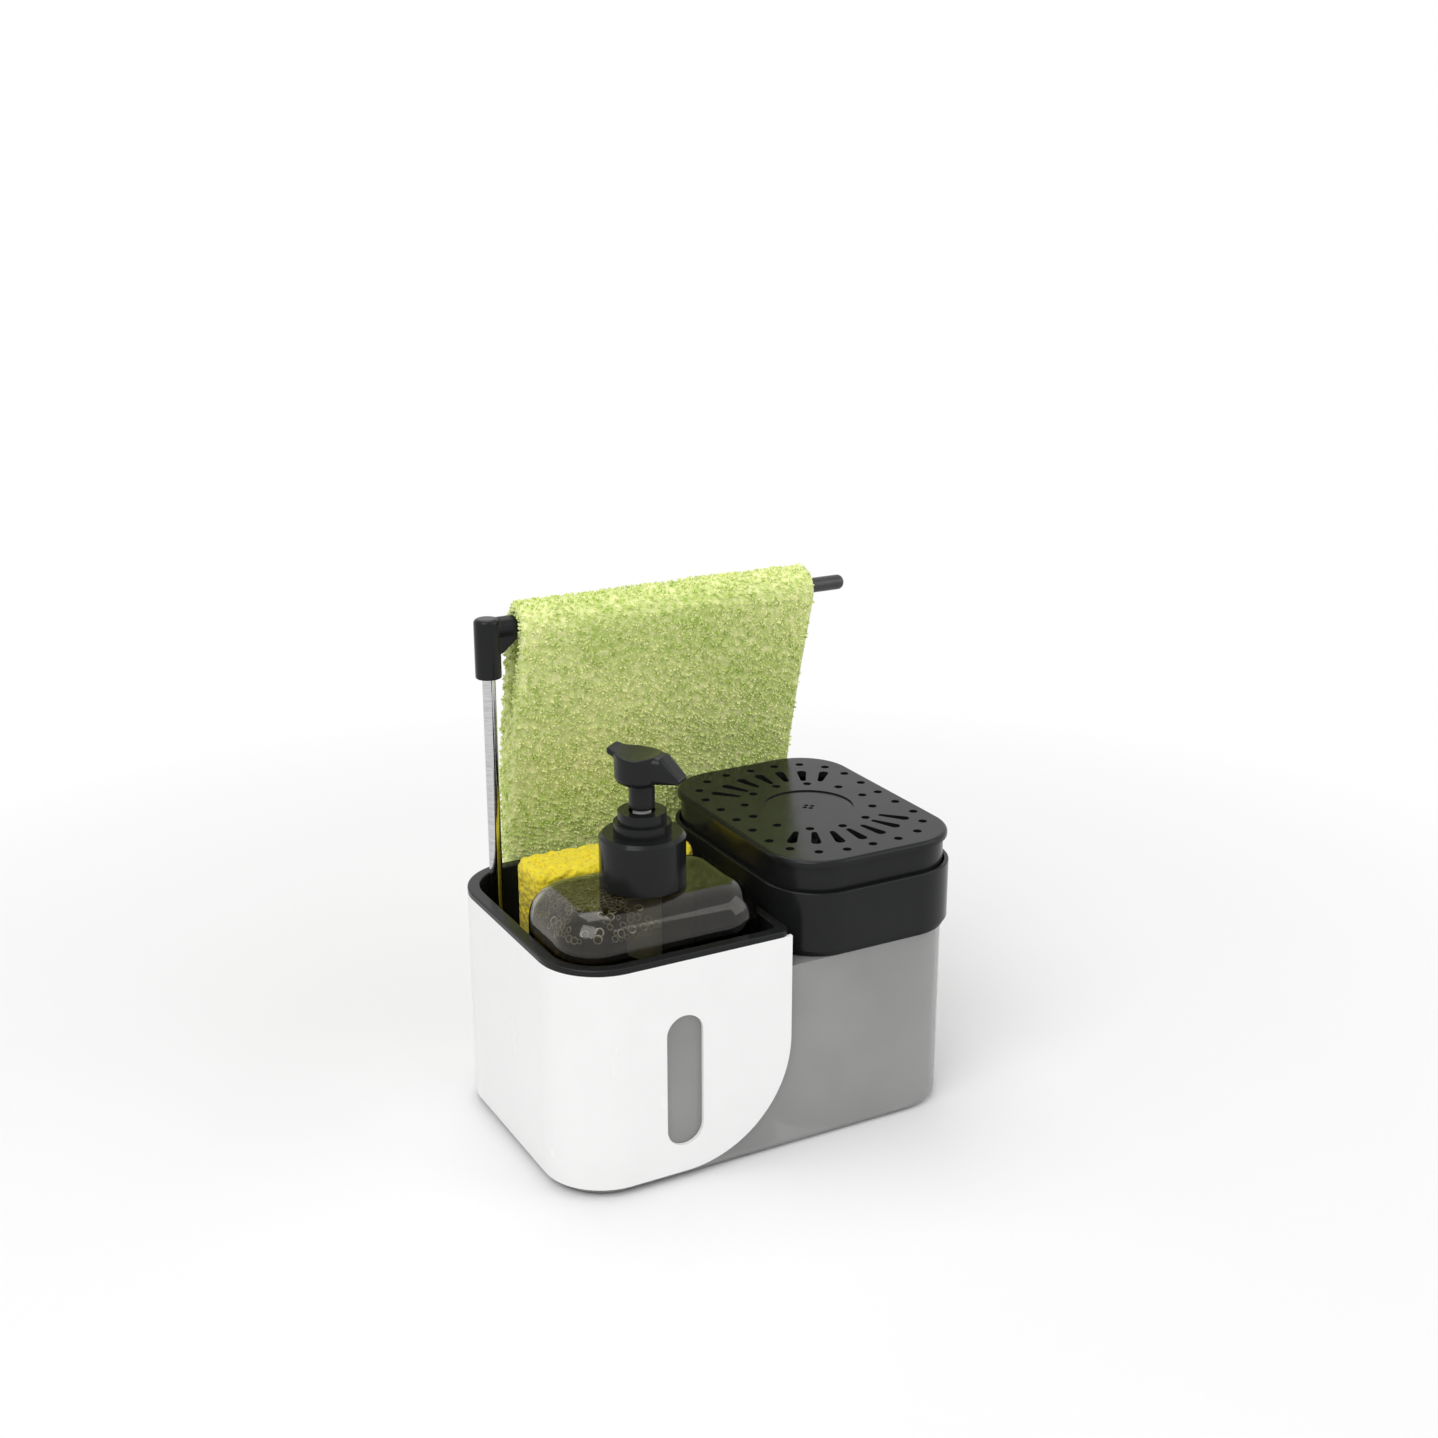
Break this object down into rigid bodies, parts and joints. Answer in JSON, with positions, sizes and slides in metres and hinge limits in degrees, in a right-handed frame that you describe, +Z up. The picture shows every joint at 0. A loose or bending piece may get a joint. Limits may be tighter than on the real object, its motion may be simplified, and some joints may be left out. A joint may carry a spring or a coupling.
{
  "type": "soap pump caddy",
  "caption": "Countertop soap caddy with a press-tray soap tank, a bin holding a pump bottle and a sponge, and a swinging towel rail with a hand towel.",
  "frame": {"origin": "on the counter, under the middle of the tank's plan", "axes": "+Z up, +X to the right as the window side faces the viewer, -Y towards the viewer"},
  "size_m": [0.204, 0.1433, 0.2318],
  "materials": {
    "smoky_tank": "smoky translucent gloss",
    "black_rubber": "matte",
    "white_plastic": "gloss white",
    "black_plastic": "gloss black",
    "soft_seal": "soft translucent",
    "milky_plastic": "natural milky",
    "spring_steel": "drawn wire",
    "smoky_bottle": "smoky translucent gloss",
    "bright_steel": "polished",
    "black_coated_steel": "black coat",
    "yellow_sponge": "open-cell cellulose",
    "green_terry": "looped terry"
  },
  "bodies": {
    "caddy_base": {"tank": "smoky_tank", "rubber_feet": "black_rubber", "outer_sleeve": "white_plastic", "bin_liner": "black_plastic", "deck_collar": "black_plastic", "deck_seal": "soft_seal", "pump_barrel": "milky_plastic", "barrel_nut": "black_plastic", "suction_tube": "milky_plastic", "foot_valve_ball": "spring_steel", "tray_spring": "spring_steel"},
    "press_tray": {"press_tray": "black_plastic", "soap_nozzle": "black_plastic", "plunger": "milky_plastic", "piston_cup": "soft_seal"},
    "pump_bottle": {"bottle": "smoky_bottle", "pump_closure": "black_plastic", "pump_chaplet": "black_plastic", "neck_gasket": "soft_seal", "pump_housing": "milky_plastic", "dip_tube": "milky_plastic", "inlet_ball": "spring_steel", "pump_spring": "spring_steel"},
    "pump_head": {"pump_head": "black_plastic", "pump_stem": "milky_plastic", "pump_piston": "soft_seal"},
    "sponge": {"sponge": "yellow_sponge"},
    "towel_rail": {"rail_post": "bright_steel", "rail_elbow": "black_plastic", "towel_bar": "black_coated_steel"},
    "towel": {"towel": "green_terry"}
  },
  "joints": [
    {"name": "tray_press", "type": "slide", "parent": "caddy_base", "child": "press_tray", "axis": [0, 0, -1], "range_m": [0, 0.01], "stiffness_N_per_m": 600, "springref_m": -0.006, "deforming": ["tray_spring"]},
    {"name": "bottle_lift", "type": "slide", "parent": "caddy_base", "child": "pump_bottle", "axis": [0, 0, 1], "range_m": [0, 0.12]},
    {"name": "head_press", "type": "slide", "parent": "pump_bottle", "child": "pump_head", "axis": [0, 0, -1], "range_m": [0, 0.01], "stiffness_N_per_m": 700, "springref_m": -0.006, "deforming": ["pump_spring"]},
    {"name": "sponge_lift", "type": "slide", "parent": "caddy_base", "child": "sponge", "axis": [0, 0, 1], "range_m": [0, 0.115]},
    {"name": "rail_swing", "type": "hinge", "parent": "caddy_base", "child": "towel_rail", "pos_m": [-0.0813, 0.054, 0.1], "axis": [0, 0, 1], "range_deg": [0, 90]},
    {"name": "towel_slide", "type": "slide", "parent": "towel_rail", "child": "towel", "axis": [1, 0, 0], "range_m": [0, 0.18]}
  ]
}
